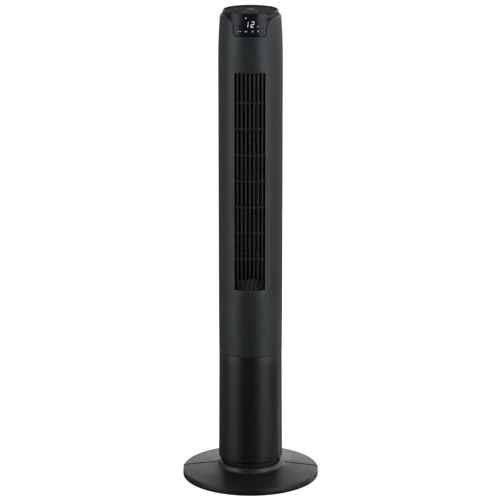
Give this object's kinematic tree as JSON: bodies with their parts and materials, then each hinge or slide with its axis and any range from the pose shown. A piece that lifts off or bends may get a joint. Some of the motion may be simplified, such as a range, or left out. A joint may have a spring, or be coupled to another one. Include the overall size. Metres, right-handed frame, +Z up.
{
  "type": "tower fan",
  "caption": "Slim round tower fan on a two-piece disc base, with a barred air outlet, glowing top display, press keys and a swinging column.",
  "frame": {"origin": "centre of the round footprint, on the floor under the rubber feet", "axes": "+Z up along the column, front with the air outlet towards -Y, +X to the right seen from the front"},
  "size_m": [0.312, 0.312, 1.084],
  "materials": {
    "base_plastic": "fine-textured satin black",
    "foot_rubber": "matte black",
    "motor_rubber": "matte black",
    "screw_steel": "zinc plated",
    "pivot_plastic": "matte black",
    "slide_plastic": "natural acetal",
    "column_plastic": "satin black",
    "head_plastic": "fine-textured satin black",
    "grille_plastic": "satin black",
    "duct_plastic": "matte black",
    "wheel_plastic": "matte black",
    "bush_bronze": "sintered",
    "motor_steel": "zinc plated",
    "stack_steel": "stacked sheet, varnished",
    "winding_copper": "enamelled copper wire",
    "capacitor_case": "moulded",
    "circuit_board": "solder resist",
    "switch_plastic": "moulded",
    "led_light": "glowing cool white",
    "panel_gloss": "high gloss black, display area tinted",
    "key_gloss": "gloss black"
  },
  "bodies": {
    "base": {"base_front_half": "base_plastic", "base_rear_half": "base_plastic", "base_feet": "foot_rubber", "base_screws": "screw_steel", "base_nut": "pivot_plastic", "spindle": "pivot_plastic", "slide_ring": "slide_plastic", "retaining_rings": "screw_steel", "sun_gear": "slide_plastic"},
    "tower": {"column_shell": "column_plastic", "turntable": "pivot_plastic", "turntable_screws": "screw_steel", "motor_bracket": "motor_steel", "swing_motor": "motor_steel", "swing_motor_screws": "screw_steel", "cord_gland": "column_plastic", "coupling_ring": "pivot_plastic", "coupling_screws": "screw_steel", "front_shell": "head_plastic", "rear_shell": "head_plastic", "shell_screws": "screw_steel", "front_grille": "grille_plastic", "scroll_duct": "duct_plastic", "stabiliser": "duct_plastic", "duct_floor": "duct_plastic", "duct_ceiling": "duct_plastic", "top_bearing_holder": "duct_plastic", "top_bush": "bush_bronze", "motor_mount": "duct_plastic", "motor_dampers": "motor_rubber", "motor_upper_bracket": "motor_steel", "motor_lower_bracket": "motor_steel", "motor_stator": "stack_steel", "motor_windings": "winding_copper", "motor_bolts": "screw_steel", "run_capacitor": "capacitor_case", "power_board": "circuit_board", "control_board": "circuit_board", "key_switches": "switch_plastic", "display_board": "circuit_board", "led_segments": "led_light", "ir_receiver": "switch_plastic", "control_panel": "panel_gloss", "top_plate": "panel_gloss", "board_screws": "screw_steel"},
    "impeller": {"impeller_hub": "wheel_plastic", "impeller_section_1": "wheel_plastic", "impeller_section_2": "wheel_plastic", "impeller_section_3": "wheel_plastic", "impeller_section_4": "wheel_plastic", "impeller_section_5": "wheel_plastic", "impeller_section_6": "wheel_plastic", "impeller_top_cap": "wheel_plastic", "motor_rotor": "motor_steel"},
    "swing_pinion": {"swing_pinion": "slide_plastic"},
    "power_key": {"power_key": "key_gloss"},
    "speed_key": {"speed_key": "key_gloss"},
    "mode_key": {"mode_key": "key_gloss"},
    "timer_key": {"timer_key": "key_gloss"},
    "swing_key": {"swing_key": "key_gloss"}
  },
  "joints": [
    {"name": "oscillation", "type": "hinge", "parent": "base", "child": "tower", "pos_m": [0, 0, 0.04], "axis": [0, 0, 1], "range_deg": [-40, 40]},
    {"name": "impeller_spin", "type": "hinge", "parent": "tower", "child": "impeller", "pos_m": [0, 0.008, 0.7], "axis": [0, 0, 1], "continuous": true},
    {"name": "pinion_turn", "type": "hinge", "parent": "tower", "child": "swing_pinion", "pos_m": [0, 0.0361, 0.06], "axis": [0, 0, 1], "range_deg": [-125, 125]},
    {"name": "power_press", "type": "slide", "parent": "tower", "child": "power_key", "axis": [0, 0, -1], "range_m": [0, 0.0008], "stiffness_N_per_m": 400, "springref_m": -0.0002},
    {"name": "speed_press", "type": "slide", "parent": "tower", "child": "speed_key", "axis": [0, 0, -1], "range_m": [0, 0.0008], "stiffness_N_per_m": 400, "springref_m": -0.0002},
    {"name": "mode_press", "type": "slide", "parent": "tower", "child": "mode_key", "axis": [0, 0, -1], "range_m": [0, 0.0008], "stiffness_N_per_m": 400, "springref_m": -0.0002},
    {"name": "timer_press", "type": "slide", "parent": "tower", "child": "timer_key", "axis": [0, 0, -1], "range_m": [0, 0.0008], "stiffness_N_per_m": 400, "springref_m": -0.0002},
    {"name": "swing_press", "type": "slide", "parent": "tower", "child": "swing_key", "axis": [0, 0, -1], "range_m": [0, 0.0008], "stiffness_N_per_m": 400, "springref_m": -0.0002}
  ],
  "couplings": [
    {"joint": "pinion_turn", "follows": "oscillation", "ratio": 3}
  ]
}
